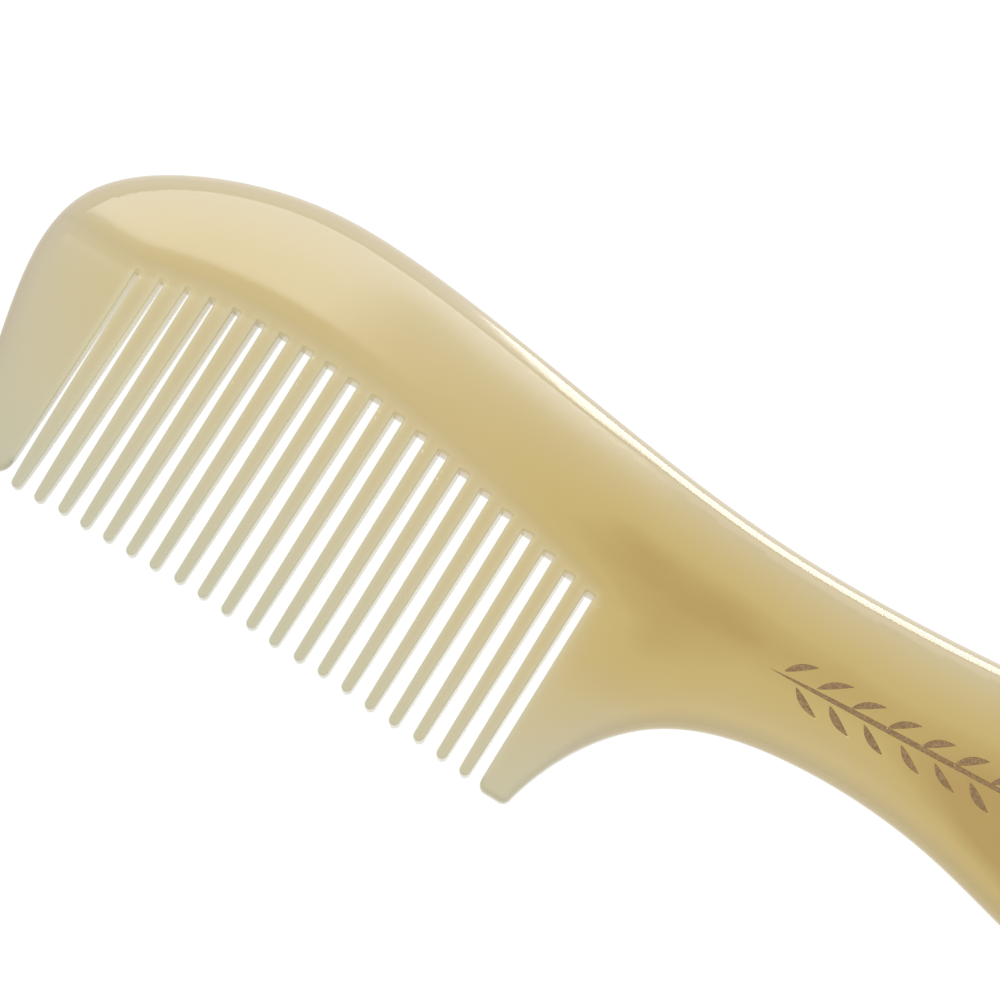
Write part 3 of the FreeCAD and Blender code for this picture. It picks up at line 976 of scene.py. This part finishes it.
@dataclass(frozen=True)
class OpalAcrylic:
    """Matt opal acrylic, lit from behind, so that it shows plain white with hardly any shadow."""

    name: str = "matt_opal_acrylic"
    colour: str = "#404040"
    glow: float = 0.97
    roughness: float = 0.9

    def make(self) -> bpy.types.Material:
        """Build the material.

        Returns:
            The new material.
        """
        material = bpy.data.materials.new(self.name)
        material.use_nodes = True
        shader = material.node_tree.nodes["Principled BSDF"]
        shader.inputs["Base Color"].default_value = linear(self.colour)
        shader.inputs["Roughness"].default_value = self.roughness
        shader.inputs["Emission Color"].default_value = (1.0, 1.0, 1.0, 1.0)
        shader.inputs["Emission Strength"].default_value = self.glow
        return material


# ------------------------------------------------------------------------------------------ pieces

@dataclass
class HornComb:
    """The comb itself: one plate of horn with its back, guards, teeth and handle."""

    plan: CombPlan
    sprig: SprigPlan
    finish: PolishedHorn = field(default_factory=PolishedHorn)

    def build(self) -> bpy.types.Object:
        """Build the comb, dress it and let it stand for the plate's regions.

        Returns:
            The comb's object.
        """
        piece = PlateMesher(self.plan, self.sprig).build("horn_comb")
        piece.data.materials.append(self.finish.make())
        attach(piece, "root")
        regions = [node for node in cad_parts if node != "engraving"]
        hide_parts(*regions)
        return piece


@dataclass
class EngravedSprig:
    """The browned skin at the bottom of the graver's cuts."""

    plan: CombPlan
    sprig: SprigPlan
    clearance: float = 0.01
    skin: float = 0.03
    side_gap: float = 0.01
    finish: ScorchedHorn = field(default_factory=ScorchedHorn)

    def build(self) -> bpy.types.Object:
        """Build one thin closed shell for each stroke, and dress them as one piece.

        Returns:
            The engraving's object.
        """
        points: list[tuple[float, float, float]] = []
        faces: list[tuple[int, ...]] = []
        for stroke in self.sprig.strokes():
            self._add_shell(stroke.outline(self.sprig.wall + self.side_gap), points, faces)
        mesh = bpy.data.meshes.new("leaf_sprig")
        mesh.from_pydata((np.array(points) * MM).tolist(), [], faces)
        mesh.validate()
        piece = bpy.data.objects.new("leaf_sprig", mesh)
        bpy.context.scene.collection.objects.link(piece)
        mesh.materials.append(self.finish.make())
        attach(piece, "root")
        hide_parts("engraving")
        return piece

    def _add_shell(self, ring: np.ndarray, points: list[tuple[float, float, float]],
                   faces: list[tuple[int, ...]]) -> None:
        """Add the closed shell of one stroke: a strip of quads above, one below and a wall around.

        Args:
            ring: the stroke's outline.
            points: the piece's points so far; the shell's are added.
            faces: the piece's faces so far; the shell's are added.
        """
        from_edge, _ = nearest(ring, self.plan.outline)
        floor = (self.plan.half_plate + self.plan.half_thickness(ring[:, 0], ring[:, 1], from_edge)
                 - self.sprig.depth + self.clearance)
        first, count = len(points), len(ring)
        for lift in (self.skin, 0.0):
            points += [(x, y, z + lift) for (x, y), z in zip(ring.tolist(), floor.tolist())]
        for here in range(count // 2 - 1):
            quad = [here, here + 1, count - 2 - here, count - 1 - here]
            faces.append(tuple(first + index for index in quad))
            faces.append(tuple(first + count + index for index in reversed(quad)))
        for here in range(count):
            after = (here + 1) % count
            faces.append((first + after, first + here, first + count + here, first + count + after))


# ------------------------------------------------------------------------------------------- studio

@dataclass
class Studio:
    """White floor, soft boxes and the camera; places are in millimetres and angles in degrees."""

    look_at: tuple[float, float, float] = (-23.1, 5.7, 5.0)
    distance: float = 567.7
    tilt: float = 11.7
    turn: float = 31.7
    lens: float = 158.4
    surroundings: float = 0.635
    floor_reach: float = 4000.0
    floor_gap: float = 0.1

    def build(self) -> None:
        """Set up the floor, the lights and the camera."""
        self._floor()
        self._world()
        self._lights()
        self._camera()

    def _axes(self) -> tuple[Vector, Vector]:
        """Directions on the table that run right and up in the camera's view."""
        angle = math.radians(self.turn)
        right = Vector((math.cos(angle), math.sin(angle), 0))
        return right, Vector((-right.y, right.x, 0))

    def _camera(self) -> None:
        """Camera above the comb, tilted a little towards the teeth's side."""
        right, ahead = self._axes()
        tilt = math.radians(self.tilt)
        back = Vector((0, 0, 1)) * math.cos(tilt) - ahead * math.sin(tilt)
        upward = back.cross(right)
        place = (Vector(self.look_at) + back * self.distance) * MM
        data = bpy.data.cameras.new("camera")
        data.lens = self.lens
        data.clip_start = 0.01
        camera = bpy.data.objects.new("camera", data)
        turn = Matrix((right, upward, back)).transposed().to_4x4()
        camera.matrix_world = Matrix.Translation(place) @ turn
        bpy.context.scene.collection.objects.link(camera)
        bpy.context.scene.camera = camera

    def _floor(self) -> None:
        """Large sheet of opal acrylic just under the comb."""
        mesh = bpy.data.meshes.new("floor_sheet")
        reach = self.floor_reach * MM
        corners = [(-reach, -reach, 0), (reach, -reach, 0), (reach, reach, 0), (-reach, reach, 0)]
        mesh.from_pydata(corners, [], [(0, 1, 2, 3)])
        mesh.materials.append(OpalAcrylic().make())
        sheet = bpy.data.objects.new("floor_sheet", mesh)
        sheet.location.z = -self.floor_gap * MM
        bpy.context.scene.collection.objects.link(sheet)

    def _world(self) -> None:
        """Even, pale surroundings."""
        world = bpy.data.worlds.new("studio")
        world.use_nodes = True
        background = world.node_tree.nodes["Background"]
        background.inputs["Color"].default_value = (1, 1, 1, 1)
        background.inputs["Strength"].default_value = self.surroundings
        bpy.context.scene.world = world

    def _lights(self) -> None:
        """Soft boxes: three hang behind the comb's back, and a tall strip stands far behind them."""
        down, forward = (0, 0, -1), (0, -1, 0)
        self._soft_box("head_box", (-236, 252, 600), down, (188, 306), 3.5)
        self._soft_box("shoulder_box", (-98, 307, 600), down, (88, 236), 3.8)
        self._soft_box("top_box", (75, 355, 600), down, (250, 300), 1.2)
        self._soft_box("back_strip", (-10, 1500, 640), forward, (140, 1220), 9.8)

    def _soft_box(self, name: str, place: tuple[float, float, float], facing: tuple[float, float, float],
                  size: tuple[float, float], radiance: float) -> None:
        """Rectangular area light.

        Args:
            name: the light's name.
            place: its centre in millimetres.
            facing: the direction it shines in.
            size: its width and height in millimetres.
            radiance: how bright its face looks, with the white floor as about 1.
        """
        data = bpy.data.lights.new(name, "AREA")
        data.shape = "RECTANGLE"
        data.size, data.size_y = size[0] * MM, size[1] * MM
        data.energy = radiance * math.pi * data.size * data.size_y
        light = bpy.data.objects.new(name, data)
        light.location = Vector(place) * MM
        light.rotation_mode = "QUATERNION"
        light.rotation_quaternion = Vector(facing).to_track_quat("-Z", "Y")
        bpy.context.scene.collection.objects.link(light)


def main() -> None:
    """Build the studio and every piece in order."""
    logging.basicConfig(level=logging.INFO, format="%(name)s: %(message)s")
    bpy.context.scene.view_settings.view_transform = "Standard"
    Studio().build()
    plan, sprig = CombPlan(), SprigPlan()
    for assembly in (HornComb(plan, sprig), EngravedSprig(plan, sprig)):
        piece = assembly.build()
        LOG.info("%s: %d faces", piece.name, len(piece.data.polygons))


if __name__ == "__main__":
    main()
